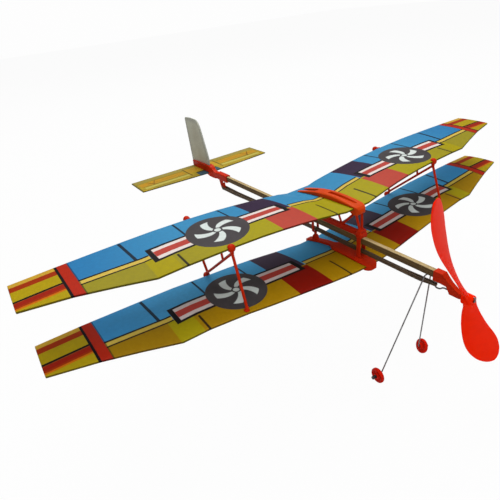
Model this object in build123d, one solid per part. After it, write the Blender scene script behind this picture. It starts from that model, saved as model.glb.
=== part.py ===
from build123d import *
from collections import namedtuple
import math
import os

os.makedirs("parts", exist_ok=True)

# Rubber powered model biplane, millimetres.
# +X to the nose, +Y to port, +Z up.
# Origin: top face of the motor stick, on its centreline.
# A side is given as -1 for starboard and 1 for port.

# ---- shared dimensions ----------------------------------------------------
SPAN = 430.0                    # both wings
CENTRE_HALF = 11.0              # half width of the untwisted centre panel
FOAM = 1.6                      # foam sheet thickness, wings
FOAM_TAIL = 1.4                 # foam sheet thickness, tail surfaces
FOAM_ROOM = FOAM + 0.16         # height of the room cut for the wing foam
GAP = 0.06                      # clearance between push fitted pieces

STICK_W, STICK_H = 3.2, 4.8     # motor stick section
STICK_X0, STICK_X1 = -100.0, 157.0

SHAFT_Z = -9.8                  # propeller axis
SHAFT_R = 0.5

# ---- wing tables ----------------------------------------------------------
# Each wing is a cambered foam sheet with a straight trailing edge in plan.
Station = namedtuple("Station", "y trailing_z leading_x leading_z camber")
Wing = namedtuple("Wing", "trailing_x stations")

UPPER = Wing(23.3, [Station(*row) for row in (
    (CENTRE_HALF, 16.1, 88.4, 21.5, 1.5),
    (20.0,  18.0, 87.4, 22.6, 1.9),
    (34.0,  19.9, 85.6, 23.7, 2.0),
    (47.0,  21.4, 84.0, 24.6, 1.9),
    (61.0,  22.9, 82.4, 25.2, 1.3),
    (76.0,  24.3, 80.6, 25.4, 0.9),
    (96.0,  25.5, 78.6, 25.2, 0.6),
    (126.0, 26.5, 75.8, 24.3, 0.4),
    (143.6, 26.6, 73.7, 22.9, 0.4),
    (165.0, 26.5, 67.2, 24.2, 0.6),
    (187.0, 26.3, 60.8, 25.2, 0.7),
    (SPAN / 2, 25.8, 54.0, 25.1, 0.5),
)])
LOWER = Wing(36.3, [Station(*row) for row in (
    (CENTRE_HALF, -25.0, 101.6, -19.4, 2.8),
    (20.0,  -23.8, 100.9, -19.2, 2.7),
    (35.0,  -22.2, 99.2, -18.9, 2.4),
    (48.0,  -20.4, 97.4, -18.6, 2.1),
    (60.0,  -18.9, 95.8, -18.3, 1.9),
    (80.0,  -16.9, 93.5, -17.4, 1.7),
    (98.0,  -15.6, 91.6, -16.0, 1.4),
    (125.0, -13.4, 89.2, -14.9, 1.0),
    (142.5, -12.7, 87.4, -16.1, 0.8),
    (165.0, -12.0, 80.6, -14.0, 1.0),
    (187.0, -11.3, 74.4, -12.2, 1.1),
    (SPAN / 2, -11.2, 67.2, -11.2, 0.9),
)])


# ---- shape helpers --------------------------------------------------------
def largest_solid(shape):
    return max(shape.solids(), key=lambda solid: solid.volume)


def solid_above(shape, z):
    """First solid whose centre lies above the given height."""
    return [solid for solid in shape.solids() if solid.center().Z > z][0]


def polygon(points):
    corners = [Vector(*point) for point in points]
    return Face(Wire([Line(a, b) for a, b in zip(corners, corners[1:] + corners[:1])]))


def side_prism(points, half_width):
    """Prism from an (x, z) outline, centred on the XZ plane."""
    face = polygon([(x, -half_width, z) for x, z in points])
    return Solid.extrude(face, Vector(0, 2 * half_width, 0))


def plan_prism(half_plan, z0, z1):
    """Prism from (x, half width) points, mirrored to both sides."""
    outline = half_plan + [(x, -y) for x, y in reversed(half_plan) if y > 0]
    face = polygon([(x, y, z0) for x, y in outline])
    return Solid.extrude(face, Vector(0, 0, z1 - z0))


def box(x0, x1, y0, y1, z0, z1):
    return Solid.make_box(x1 - x0, y1 - y0, z1 - z0, Plane(origin=(x0, y0, z0)))


def block(x0, x1, half_width, z0, z1):
    """Box centred on the XZ plane."""
    return box(x0, x1, -half_width, half_width, z0, z1)


def rod(start, end, radius):
    origin = Vector(*start)
    run = Vector(*end) - origin
    return Solid.make_cylinder(radius, run.length, Plane(origin=origin, z_dir=run))


def rod_pair(start, end, radius):
    """A rod given on the port side, joined to its starboard mirror image."""
    mirrored = [(x, -y, z) for x, y, z in (start, end)]
    return rod(*mirrored, radius) + rod(start, end, radius)


def ball(centre, radius):
    plane = Plane(origin=Vector(*centre), z_dir=(1, 0, 0))
    return Solid.make_sphere(radius, plane, -90, 90, 360)


def cylinder_x(x, z, radius, length):
    """Cylinder running forwards from x, on the centreline."""
    return Solid.make_cylinder(radius, length, Plane(origin=(x, 0, z), z_dir=(1, 0, 0)))


def round_x_edges(shape, radius, above=-math.inf, below=math.inf):
    """Fillet the edges that run along X, between two heights."""
    edges = [e for e in shape.edges()
             if abs((e @ 0).X - (e @ 1).X) > 1 and above < (e @ 0).Z < below]
    return shape.fillet(radius, edges)


def stick_room(x0, x1):
    """The stick section with clearance all round."""
    return block(x0, x1, STICK_W / 2 + GAP, -STICK_H - GAP, GAP)


# ---- wing geometry --------------------------------------------------------
def mean_z(station, trailing_x, x):
    """Height of the foam's mean line: a straight chord plus a parabola."""
    u = (x - trailing_x) / (station.leading_x - trailing_x)
    chord_z = station.trailing_z + (station.leading_z - station.trailing_z) * u
    return chord_z + 4.0 * station.camber * u * (1.0 - u)


def centre_z(wing, x):
    return mean_z(wing.stations[0], wing.trailing_x, x)


def centre_top(wing, x):
    return centre_z(wing, x) + FOAM / 2


def centre_underside(wing, x):
    return centre_z(wing, x) - FOAM / 2


def station_at(wing, y):
    """Station interpolated between its two neighbours in the table."""
    for inner, outer in zip(wing.stations, wing.stations[1:]):
        if inner.y <= y <= outer.y:
            f = (y - inner.y) / (outer.y - inner.y)
            return Station(*[a + (b - a) * f for a, b in zip(inner, outer)])


def sheet_face(station, trailing_x, y, thickness, grow=0.0, count=9):
    """Section of the foam sheet, lengthened by grow at both edges."""
    x0, x1 = trailing_x - grow, station.leading_x + grow
    xs = [x0 + (x1 - x0) * i / (count - 1) for i in range(count)]
    mean = [(x, mean_z(station, trailing_x, x)) for x in xs]
    top = [Vector(x, y, z + thickness / 2) for x, z in mean]
    bottom = [Vector(x, y, z - thickness / 2) for x, z in mean]
    return Face(Wire([Spline(*top), Line(top[-1], bottom[-1]),
                      Spline(*bottom[::-1]), Line(bottom[0], top[0])]))


def wing_sheet(wing):
    placed = [(-s.y, s) for s in reversed(wing.stations)] + [(s.y, s) for s in wing.stations]
    return loft([sheet_face(s, wing.trailing_x, y, FOAM) for y, s in placed], ruled=True)


# ---- motor stick and its undercarriage groove -----------------------------
GEAR_X = 146.6                  # undercarriage wire under the stick
GROOVE_HALF, GROOVE_DEPTH = 0.5, 0.5


def make_motor_stick():
    stick = block(STICK_X0, STICK_X1, STICK_W / 2, -STICK_H, 0)
    groove = block(GEAR_X - GROOVE_HALF, GEAR_X + GROOVE_HALF, 4,
                   -STICK_H - 1, -STICK_H + GROOVE_DEPTH)
    return largest_solid(stick - groove)


# ---- places of the rings that hang the wings on the stick -----------------
FRONT_X0, FRONT_X1 = 90.3, 93.9
REAR_X0, REAR_X1 = 42.5, 44.9
REAR_X = (REAR_X0 + REAR_X1) / 2
FRONT_RING_Z = centre_top(LOWER, (FRONT_X0 + FRONT_X1) / 2) + 2.0   # underside
REAR_FOOT_Z = centre_top(LOWER, REAR_X) + 2.6                       # underside

# ---- saddles that clip the wings to the frame -----------------------------
SADDLE_BLANK_HALF = 14          # half width before the plan is cut
LIP_LENGTH, LIP_DROP = 2.6, 1.2   # lip under the trailing edge

# Plates: (x, height above the foam), tail to nose.
# Noses: (x, z), round the leading edge to the heel of the lip below it.
# Plans: (x, half width).
UPPER_PLATE = [(28.6, 0.5), (34.0, 1.2), (42.0, 2.2), (50.0, 3.1), (58.0, 3.6),
               (66.0, 3.6), (74.0, 3.1), (82.0, 2.2), (88.0, 1.3)]
UPPER_NOSE = [(90.6, 22.9), (92.4, 21.5), (93.2, 19.9), (92.9, 18.5),
              (91.4, 17.5), (89.0, 17.2), (86.8, 17.7), (84.6, 19.2)]
UPPER_PLAN = [(28.0, 3.6), (28.6, 4.5), (30.0, 4.9), (46.0, 4.7), (57.0, 4.6),
              (66.0, 4.7), (75.0, 5.0), (84.0, 5.0), (88.0, 4.8),
              (90.6, 4.2), (92.2, 3.2), (93.1, 1.8), (93.4, 0.0)]
LOWER_PLATE = [(34.6, 1.6), (40.0, 1.7), (46.0, 1.8), (54.0, 2.0), (62.0, 2.1),
               (68.0, 2.1), (76.0, 1.9), (84.0, 1.7), (92.0, 1.5), (100.0, 1.2)]
LOWER_NOSE = [(103.4, -17.9), (105.2, -19.3), (105.6, -20.7), (104.6, -21.9),
              (102.4, -22.3), (98.6, -21.9), (97.2, -20.9)]
LOWER_PLAN = [(34.0, 1.8), (34.6, 2.7), (37.0, 3.1), (48.0, 2.6), (63.0, 2.6),
              (66.5, 4.9), (69.0, 5.9), (74.0, 6.2), (92.0, 6.4), (98.0, 6.1),
              (101.4, 5.2), (103.8, 3.7), (105.2, 1.9), (105.7, 0.0)]

PRONG_SLOT_R, PRONG_SLOT_END = 1.9, 46.0
CHANNEL_HALF = 1.5
# (x, height above the foam) of the channel floor and of the chamfer's low edge
CHANNEL = [(60.0, 1.7), (66.0, 1.6), (74.0, 1.3), (81.0, 0.9), (86.0, 0.7)]
CHAMFER = [(27.0, 0.2), (34.0, 0.7), (42.0, 1.3), (50.0, 1.9), (58.0, 2.2),
           (66.0, 2.2), (74.0, 1.9), (82.0, 1.2), (90.0, 0.4), (96.0, -0.6)]
# (y, height) of the chamfer cutter's section
CHAMFER_SECTION = [(5.6, 0), (5.6, 9), (2.2, 9), (3.4, 1.7)]


def saddle_blank(wing, plate, nose, plan, tail_lip):
    """Plate over the foam, its nose round the leading edge, cut to its plan."""
    top = [Vector(x, 0, centre_top(wing, x) + height) for x, height in plate]
    tail_x, heel_x = plate[0][0], nose[-1][0]
    lip_x = wing.trailing_x + LIP_LENGTH
    low_end = lip_x if tail_lip else tail_x
    low_xs = [heel_x + (low_end - heel_x) * i / 6 for i in range(7)]
    low = [Vector(x, 0, centre_z(wing, x)) for x in low_xs]

    front = [top[-1]] + [Vector(x, 0, z) for x, z in nose] + [low[0]]
    back = [low[-1]]
    if tail_lip:
        lip_z = wing.stations[0].trailing_z - FOAM / 2 - LIP_DROP
        back += [Vector(lip_x, 0, lip_z), Vector(tail_x, 0, lip_z)]
    back.append(top[0])

    edges = [Spline(*top)]
    edges += [Line(a, b) for a, b in zip(front, front[1:])]
    edges.append(Spline(*low))
    edges += [Line(a, b) for a, b in zip(back, back[1:])]
    profile = Face(Wire(edges)).moved(Location((0, -SADDLE_BLANK_HALF, 0)))
    body = Solid.extrude(profile, Vector(0, 2 * SADDLE_BLANK_HALF, 0))
    return body & plan_prism(plan, -60, 60)


def centre_foam_room(wing):
    """Slightly thicker and longer copy of the foam at the centre panel."""
    section = sheet_face(wing.stations[0], wing.trailing_x, -SADDLE_BLANK_HALF,
                         FOAM_ROOM, grow=0.1)
    return Solid.extrude(section, Vector(0, 2 * SADDLE_BLANK_HALF, 0))


def make_upper_saddle():
    body = saddle_blank(UPPER, UPPER_PLATE, UPPER_NOSE, UPPER_PLAN, tail_lip=False)
    # round ended slot between the two rear prongs
    slot_end = Solid.make_cylinder(PRONG_SLOT_R, 60, Plane(origin=(PRONG_SLOT_END, 0, 0)))
    body = body - (block(20, PRONG_SLOT_END, PRONG_SLOT_R, 0, 60) + slot_end)
    # long channel between the two front ridges
    channel = [(x, centre_top(UPPER, x) + height) for x, height in CHANNEL]
    channel += [(CHANNEL[-1][0], 40.0), (CHANNEL[0][0], 40.0)]
    body = body - side_prism(channel, CHANNEL_HALF)
    # chamfered shoulders; past the leading edge the foam height is held
    for side in (-1, 1):
        sections = []
        for x, height in CHAMFER:
            z = centre_top(UPPER, min(x, UPPER.stations[0].leading_x)) + height
            sections.append(polygon([(x, side * y, z + dz) for y, dz in CHAMFER_SECTION]))
        body = body - loft(sections, ruled=True)
    return largest_solid(body - centre_foam_room(UPPER))


def make_lower_saddle():
    room = centre_foam_room(LOWER)
    body = saddle_blank(LOWER, LOWER_PLATE, LOWER_NOSE, LOWER_PLAN, tail_lip=True)
    body = largest_solid(body - room)
    # boss that takes the foot of the rear ring
    boss_z = centre_z(LOWER, REAR_X)
    boss = Solid.make_cylinder(2.9, 6, Plane(origin=(REAR_X, 0, REAR_FOOT_Z - 6)))
    boss = boss - block(38, 50, 5, boss_z - 10, boss_z) - room
    body = body + solid_above(boss, boss_z)
    # step that takes the front ring
    step_z = centre_z(LOWER, 94.0)
    step = block(FRONT_X0 - 0.8, FRONT_X1 + 0.8, 4.2, step_z, FRONT_RING_Z) - room
    return largest_solid(body + solid_above(step, step_z))


# ---- frame that stands on the stick, under the upper saddle ---------------
RAIL_H = 3.8                    # height of the rail on the stick
RAIL_HALF = 1.7
RAIL_X0, RAIL_X1 = 48.0, 94.6
RAIL_TAIL_X = 45.4              # end of the taper behind the rail
LEG_R = 0.95
LEG_TOP_X, LEG_FOOT_X = 89.3, 73.2
THIN_LEG_X, THIN_LEG_R = 65.4, 0.8
LEG_TRIM_Z = 19.3               # front legs are cut level here


def make_cabane_frame(upper_saddle):
    rail = block(RAIL_X0, RAIL_X1, RAIL_HALF, GAP, RAIL_H)
    rail = rail + side_prism([(RAIL_TAIL_X, GAP), (RAIL_X0, GAP), (RAIL_X0, RAIL_H),
                              (RAIL_TAIL_X, 1.3)], RAIL_HALF)
    crown = rod_pair((91.6, 0.7, 3.2), (91.3, 0.9, 6.4), 1.5)
    fork = rod_pair((91.5, 0.9, 5.0), (LEG_TOP_X, 3.0, 18.3), LEG_R)
    diagonal = rod((LEG_FOOT_X, 0, 3.0), (87.6, 0, 18.4), LEG_R)
    thin_top = centre_underside(UPPER, THIN_LEG_X) - 0.9
    thin_leg = rod((LEG_FOOT_X, 0, RAIL_H - 0.6), (THIN_LEG_X, 0, thin_top), THIN_LEG_R)
    pad_z = centre_underside(UPPER, 64)
    pad = block(THIN_LEG_X - 2, THIN_LEG_X + 2, 2.2, pad_z - 1.6, pad_z - 0.35)
    frame = rail + crown + fork + diagonal + thin_leg + pad
    return largest_solid(frame - block(85, 96, 6, LEG_TRIM_Z, 40) - upper_saddle)


# ---- rings round stick and rubber -----------------------------------------
RING_OUT, RING_IN = 3.05, 2.15  # half widths


def add_grips(ring, x0, x1):
    """Pads inside a ring that hold it on the sides of the stick."""
    inner, outer = STICK_W / 2 + 0.03, RING_IN + 0.2
    for y0, y1 in ((-outer, -inner), (inner, outer)):
        ring = ring + box(x0, x1, y0, y1, -4.2, -0.8)
    return ring


def make_front_ring(frame):
    """Ring over rail, stick and rubber, standing on the lower saddle."""
    ring = block(FRONT_X0, FRONT_X1, RING_OUT, FRONT_RING_Z, RAIL_H + 2.2)
    ring = round_x_edges(ring, 1.4, above=0)
    ring = ring - block(FRONT_X0 - 1, FRONT_X1 + 1, RING_IN, FRONT_RING_Z + 1.1, 0.0)
    ring = ring - block(FRONT_X0 - 1, FRONT_X1 + 1, RAIL_HALF + GAP, -1.0, RAIL_H + GAP)
    ring = ring - frame
    ring = add_grips(ring, FRONT_X0 + 0.6, FRONT_X1 - 0.6)
    # collar where ring and legs meet
    collar = block(FRONT_X0 - 0.7, FRONT_X1 + 0.7, RING_OUT + 0.35, -0.2, 3.4)
    collar = round_x_edges(collar, 0.9)
    collar = collar - block(FRONT_X0 - 2, FRONT_X1 + 2, RAIL_HALF + GAP, -1.0, RAIL_H + GAP)
    return largest_solid(ring + (collar - frame))


def make_rear_ring():
    """Oval band round stick and rubber, short post, ball shaped foot."""
    ring = round_x_edges(block(REAR_X0, REAR_X1, RING_OUT, -14.3, 1.15), 2.4)
    hole = block(REAR_X0 - 1, REAR_X1 + 1, RING_IN, -13.4, GAP)
    ring = ring - round_x_edges(hole, 1.5, below=-5)
    ring = add_grips(ring, REAR_X0 + 0.4, REAR_X1 - 0.4)
    post = rod((REAR_X, 0, -13.7), (REAR_X, 0, -17.6), 1.15)
    ring = ring + post + ball((REAR_X, 0, REAR_FOOT_Z + 1.0), 2.6)
    return largest_solid(ring - block(38, 50, 5, -40, REAR_FOOT_Z))


# ---- interplane struts ----------------------------------------------------
STRUT_Y = 97.0
STRUT_R = 0.95
STUB_R = 0.8
STUB_BRANCH = 0.33              # where the stub leaves the diagonal, from its top


def strut_foam_room(wing, side):
    """Slightly thicker and longer copy of the foam near one strut."""
    near = [s for s in wing.stations if 76.0 <= s.y <= 126.0]
    return loft([sheet_face(s, wing.trailing_x, side * s.y, FOAM_ROOM, grow=0.08)
                 for s in near], ruled=True)


def make_strut(side):
    y = side * STRUT_Y
    upper, lower = station_at(UPPER, STRUT_Y), station_at(LOWER, STRUT_Y)
    up_rear_x, up_rear_z = UPPER.trailing_x, upper.trailing_z
    up_front_x, up_front_z = upper.leading_x, upper.leading_z
    low_rear_x, low_rear_z = LOWER.trailing_x, lower.trailing_z
    low_front_x, low_front_z = lower.leading_x, lower.leading_z

    # knobs at the wing edges, and the ends of the legs that reach them
    up_rear_knob = (up_rear_x - 5.2, y, up_rear_z - 1.8)
    up_front_knob = (up_front_x - 0.6, y, up_front_z - 0.1)
    low_rear_knob = (low_rear_x - 2.0, y, low_rear_z - 0.2)
    low_front_knob = (low_front_x - 2.8, y + side * 1.5, low_front_z - 0.2)
    up_rear = (up_rear_x - 1.6, y, up_rear_z - 4.4)
    up_front = (up_front_x - 0.4, y, up_front_z - 3.6)
    low_rear = (low_rear_x + 0.6, y, low_rear_z + 3.4)
    low_front = (low_front_x - 2.4, y + side * 1.35, low_front_z + 3.6)

    # rear leg, front leg and the diagonal between them
    body = (rod(up_rear, low_rear, STRUT_R) + rod(up_front, low_front, STRUT_R)
            + rod(up_front, low_rear, STRUT_R))
    # stub from the diagonal to a pad under the upper wing
    branch = tuple(a + (b - a) * STUB_BRANCH for a, b in zip(up_front, low_rear))
    stub_x = branch[0] - 2.0
    foam_z = mean_z(upper, UPPER.trailing_x, stub_x) - FOAM / 2
    body = body + rod(branch, (stub_x, y, foam_z - 0.7), STUB_R)
    body = body + box(stub_x - 1.8, stub_x + 1.8, y - 1.2, y + 1.2,
                      foam_z - 1.1, foam_z - 0.35)
    for knob, leg_end, radius in ((up_rear_knob, up_rear, 2.5),
                                  (up_front_knob, up_front, 2.7),
                                  (low_rear_knob, low_rear, 2.5),
                                  (low_front_knob, low_front, 2.6)):
        body = body + ball(knob, radius) + rod(leg_end, knob, 1.25) + ball(leg_end, 1.2)
    # finger from the rear knob that grips the upper trailing edge
    body = body + rod((up_rear_knob[0], y, up_rear_knob[2] + 0.4),
                      (up_rear_x + 1.6, y, up_rear_z - 0.1), 1.35)
    for wing in (UPPER, LOWER):
        body = body - strut_foam_room(wing, side)
    return largest_solid(body)


# ---- nose bearing ---------------------------------------------------------
BEARING_R = 0.56                # bore for the shaft
BEARING_SIDE = [                # (x, z)
    (151.4, 0.6), (157.2, 0.6), (159.2, -1.4), (162.0, -3.8), (166.9, -6.9),
    (169.4, -8.0), (169.4, -11.4), (162.6, -11.5), (161.9, -9.6), (160.2, -6.9),
    (158.0, -6.5), (155.0, -6.4), (151.4, -6.4)]
BEARING_PLAN = [(151.0, 2.4), (158.0, 2.4), (163.0, 1.8), (170.0, 1.8), (170.0, 0.0)]


def make_nose_bearing():
    body = side_prism(BEARING_SIDE, 2.4) & plan_prism(BEARING_PLAN, -20, 5)
    body = body + cylinder_x(162.2, SHAFT_Z, radius=1.85, length=8.0)
    body = body - stick_room(150, STICK_X1 + 0.05)
    return largest_solid(body - cylinder_x(150.0, SHAFT_Z, BEARING_R, length=30))


# ---- propeller shaft ------------------------------------------------------
SHAFT_FRONT_X = 177.4
HOOK_START_X = 158.6            # the straight run ends here
HOOK_X, HOOK_R = 154.0, 2.2     # centre and radius of the rubber hook
BEND_H, BEND_BACK = 2.9, 2.0    # front end: rise, then run aft


def make_prop_shaft():
    front = Vector(SHAFT_FRONT_X, 0, SHAFT_Z)
    hook_start = Vector(HOOK_START_X, 0, SHAFT_Z)
    curve = [hook_start, Vector(156.5, 0, SHAFT_Z - 1.35)]
    for degrees in range(270, 60, -15):
        angle = math.radians(degrees)
        curve.append(Vector(HOOK_X + HOOK_R * math.cos(angle), 0,
                            SHAFT_Z + HOOK_R * math.sin(angle)))
    hook = Spline(*curve, tangents=[Vector(-1, 0, 0), Vector(1, 0, -0.35)])
    path = Wire([Line(front, hook_start), hook])
    section = Face(Wire.make_circle(SHAFT_R, Plane(origin=front, z_dir=(-1, 0, 0))))
    wire = largest_solid(sweep(section, path=path))
    # front end of the wire is bent up and back over the hub
    corner = (SHAFT_FRONT_X, 0, SHAFT_Z + BEND_H)
    tip = (SHAFT_FRONT_X - BEND_BACK, 0, SHAFT_Z + BEND_H)
    bend = (rod(front, corner, SHAFT_R) + ball(front, SHAFT_R)
            + ball(corner, SHAFT_R) + rod(corner, tip, SHAFT_R))
    return largest_solid(wire + bend)


# ---- propeller ------------------------------------------------------------
PROP_X = 174.5
PROP_R = 92.0
PROP_LEAN = 30.9                # degrees, upper blade leans to starboard
HUB_R, HUB_LENGTH, HUB_BACK = 3.6, 6.2, -3.9
# (radius fraction, half chord, degrees from the disc plane, bow, sweep)
BLADE = [
    (0.035, 3.6, 51.8, -0.6, 0.52), (0.1, 3.8, 51.3, -1.3, 1.1),
    (0.16, 4.5, 48.7, -2.0, 1.67), (0.22, 5.2, 45.3, -2.6, 2.09),
    (0.28, 5.9, 42.4, -3.0, 2.34), (0.34, 6.7, 39.5, -3.35, 2.49),
    (0.4, 7.4, 36.4, -3.55, 2.53), (0.47, 8.3, 32.7, -3.65, 2.45),
    (0.54, 9.2, 29.5, -3.6, 2.24), (0.61, 10.0, 27.2, -3.4, 1.9),
    (0.68, 10.5, 25.0, -3.0, 1.42), (0.75, 10.5, 23.2, -2.45, 0.86),
    (0.8, 10.05, 21.9, -1.97, 0.4), (0.85, 9.3, 20.6, -1.45, -0.1),
    (0.9, 8.1, 19.2, -0.85, -0.68), (0.94, 6.6, 18.2, -0.3, -1.15),
    (0.97, 4.6, 17.3, 0.2, -1.56), (0.99, 2.6, 16.7, 0.55, -1.82),
    (1.0, 0.9, 16.4, 0.7, -1.95),
]
# lens section: (fraction of half chord, fraction of half thickness)
LENS = [(-1, 0.12), (-0.5, 0.8), (0, 1), (0.5, 0.8), (1, 0.12)]


def blade_thickness(fraction):
    if fraction > 0.98:
        return 0.6
    return 2.3 - 1.35 * fraction if fraction > 0.05 else 3.0


def blade_face(fraction, half_chord, pitch, bow, chord_shift):
    """Lens section of a blade that runs along +Z, with the shaft along +X."""
    angle = math.radians(pitch)
    chordwise = Vector(-math.sin(angle), math.cos(angle), 0)
    normal = Vector(math.cos(angle), math.sin(angle), 0)
    centre = Vector(0, 0, fraction * PROP_R) + chordwise * chord_shift + normal * bow
    half = blade_thickness(fraction) / 2
    front = [centre + chordwise * (u * half_chord) + normal * (w * half) for u, w in LENS]
    back = [centre + chordwise * (u * half_chord) - normal * (w * half)
            for u, w in reversed(LENS)]
    return Face(Wire([Spline(*front), Line(front[-1], back[0]),
                      Spline(*back), Line(back[-1], front[0])]))


def make_propeller():
    x_axis = Axis((0, 0, 0), (1, 0, 0))
    blade = loft([blade_face(*row) for row in BLADE], ruled=True)
    hub = cylinder_x(HUB_BACK, 0, HUB_R, HUB_LENGTH)
    prop = hub + blade + blade.rotate(x_axis, 180)
    prop = largest_solid(prop - cylinder_x(-15, 0, SHAFT_R + 0.01, length=30))
    prop = prop.rotate(x_axis, PROP_LEAN).moved(Location((PROP_X, 0, SHAFT_Z)))
    # notch in the hub face for the bent end of the shaft
    return largest_solid(prop - block(174.7, 178.5, 0.62, SHAFT_Z, SHAFT_Z + 3.6))


# ---- rubber motor ---------------------------------------------------------
# (x, outer half width, inner half width) of the loop in plan
RUBBER_PLAN = [(-98.9, 2.45, 1.4), (-60, 1.9, 0.9), (0, 1.2, 0.2), (47, 1.1, 0.15),
               (130, 1.1, 0.15), (144, 1.5, 0.5), (151.8, 1.72, 0.66)]
# (x, centre z, half height) of the bundle seen from the side
RUBBER_SIDE = [(-102.5, -14.8, 1.45), (-74, -14.9, 1.45), (-47, -13.9, 1.45),
               (0, -12.5, 1.45), (47, -11.2, 1.45), (130, -11.1, 1.45),
               (144, -10.7, 1.45), (150, -9.95, 0.75), (154.5, SHAFT_Z, 0.75)]


def round_ended_band(rows):
    """Tall prism from rows of (x, half width), with round ends."""
    (tail_x, tail_r), (nose_x, nose_r) = rows[0], rows[-1]
    port = [Vector(x, y, 0) for x, y in rows]
    starboard = [Vector(x, -y, 0) for x, y in rows[::-1]]
    edges = [Line(a, b) for a, b in zip(port, port[1:])]
    edges.append(ThreePointArc(port[-1], Vector(nose_x + nose_r, 0, 0), starboard[0]))
    edges += [Line(a, b) for a, b in zip(starboard, starboard[1:])]
    edges.append(ThreePointArc(starboard[-1], Vector(tail_x - tail_r, 0, 0), port[0]))
    return Solid.extrude(Face(Wire(edges)).moved(Location((0, 0, -20))), Vector(0, 0, 18))


def make_rubber_motor():
    loop = round_ended_band([(x, outer) for x, outer, _ in RUBBER_PLAN])
    loop = loop - round_ended_band([(x, inner) for x, _, inner in RUBBER_PLAN])
    side = [(x, z - half) for x, z, half in RUBBER_SIDE]
    side += [(x, z + half) for x, z, half in reversed(RUBBER_SIDE)]
    return largest_solid(loop & side_prism(side, 4))


# ---- tail clip with rubber hook -------------------------------------------
SPIGOT_HALF, SPIGOT_Z0, SPIGOT_Z1 = 1.2, -3.9, -0.9   # joins clip and tail seat
RUBBER_HOOK = [                 # (x, z)
    (-106.4, -3.0), (-105.6, -7.2), (-104.4, -11.4), (-103.2, -14.8), (-101.8, -16.8),
    (-99.6, -17.4), (-98.0, -17.1), (-97.6, -16.4), (-97.6, -9.6), (-98.0, -9.1),
    (-98.9, -9.1), (-99.4, -9.6), (-99.4, -16.33), (-101.6, -16.3), (-101.9, -15.6),
    (-101.9, -11.0), (-101.9, -3.0)]


def make_tail_clip():
    clip = round_x_edges(block(-106.4, -88.0, 2.9, -6.4, 1.1), 1.0)
    clip = clip - stick_room(STICK_X0 - GAP, -80)
    hook = side_prism(RUBBER_HOOK, 1.25)
    clip = clip + (hook - block(STICK_X0 - GAP, -80, 4, -STICK_H - GAP, GAP))
    # socket for the spigot of the tail seat
    return largest_solid(clip - block(-107, -102.4, SPIGOT_HALF + GAP,
                                      SPIGOT_Z0 - GAP, SPIGOT_Z1 + GAP))


# ---- tail surfaces and their seat -----------------------------------------
STAB_Z = -3.7                   # centre height of the stabiliser
# (y, trailing x, leading x)
STAB_STATIONS = [(6.0, -161.2, -123.8), (40.0, -161.7, -126.2), (77.5, -162.1, -129.0)]
FIN_Z = 0.5                     # foot of the fin
FIN_SIDE = [                    # (x, z)
    (-162.8, FIN_Z), (-165.2, 48.6), (-164.0, 50.4), (-153.0, 51.2), (-142.0, 50.8),
    (-139.2, 49.9), (-136.6, 48.1), (-134.6, 45.6), (-133.2, 42.8), (-131.0, 36.0),
    (-128.0, 26.0), (-125.2, 17.0), (-124.0, 12.0), (-124.3, 6.0), (-124.8, FIN_Z)]
SEAT_SIDE = [                   # (x, z)
    (-107.2, -0.2), (-112.2, -0.1), (-115.6, 1.1), (-118.4, 3.3), (-122.5, 4.6),
    (-136, 4.3), (-150, 4.0), (-160.4, 3.2), (-160.4, -5.0), (-150, -5.4),
    (-138, -5.5), (-128.0, -5.7), (-123.0, -7.0), (-116.5, -7.7), (-110.5, -7.1),
    (-107.2, -5.9)]
SEAT_PLAN = [(-160.4, 2.2), (-150, 2.9), (-121, 2.9), (-116, 2.2), (-107.2, 2.3)]


def make_stabilizer():
    z0, z1 = STAB_Z - FOAM_TAIL / 2, STAB_Z + FOAM_TAIL / 2
    placed = [(-y, x0, x1) for y, x0, x1 in reversed(STAB_STATIONS)] + STAB_STATIONS
    return loft([polygon([(x0, y, z0), (x1, y, z0), (x1, y, z1), (x0, y, z1)])
                 for y, x0, x1 in placed], ruled=True)


def make_fin():
    return largest_solid(side_prism(FIN_SIDE, FOAM_TAIL / 2))


def make_tail_seat():
    slot_half = FOAM_TAIL / 2 + GAP
    seat = side_prism(SEAT_SIDE, 2.9) & plan_prism(SEAT_PLAN, -30, 30)
    seat = seat + block(-107.4, -102.6, SPIGOT_HALF, SPIGOT_Z0, SPIGOT_Z1)
    # slot across the seat for the stabiliser, slot along it for the fin
    seat = seat - block(-170, -123.7, 6, STAB_Z - slot_half, STAB_Z + slot_half)
    return largest_solid(seat - block(-170, -122.4, slot_half, FIN_Z - GAP, 30))


# ---- undercarriage --------------------------------------------------------
# wheel centres and outward axle directions; the port axle end is bent
# a little forwards and down
HUBS = {-1: ((133.0, -24.4, -88.0), (-0.118, -0.9926, 0.027)),
        1: ((133.9, 24.4, -89.2), (0.319, 0.9098, -0.266))}
WIRE_R = 0.45
BAR_HALF = 3.1                  # half length of the bar under the stick
AXLE_IN, AXLE_OUT = -3.2, 5.2   # axle ends, outwards from the wheel centre
WHEEL_R = 5.6
WHEEL_BORE = 0.51
# (radius, distance outwards) of the disc, its rim and its hub
WHEEL_PROFILE = [(WHEEL_BORE, -0.7), (1.8, -0.7), (2.1, 0.0), (4.4, 0.3), (5.0, 0.0),
                 (WHEEL_R, 0.4), (WHEEL_R, 2.2), (5.0, 2.7), (4.2, 2.3), (2.4, 1.8),
                 (2.0, 3.1), (WHEEL_BORE, 3.1)]
CAP_R, CAP_LENGTH = 1.2, 3.0


def on_axle(side, distance):
    """Point on the axle line, a distance outwards from the wheel centre."""
    centre, outwards = HUBS[side]
    return Vector(*centre) + Vector(*outwards).normalized() * distance


def axle_plane(side, distance):
    return Plane(origin=on_axle(side, distance), z_dir=Vector(*HUBS[side][1]))


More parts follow.
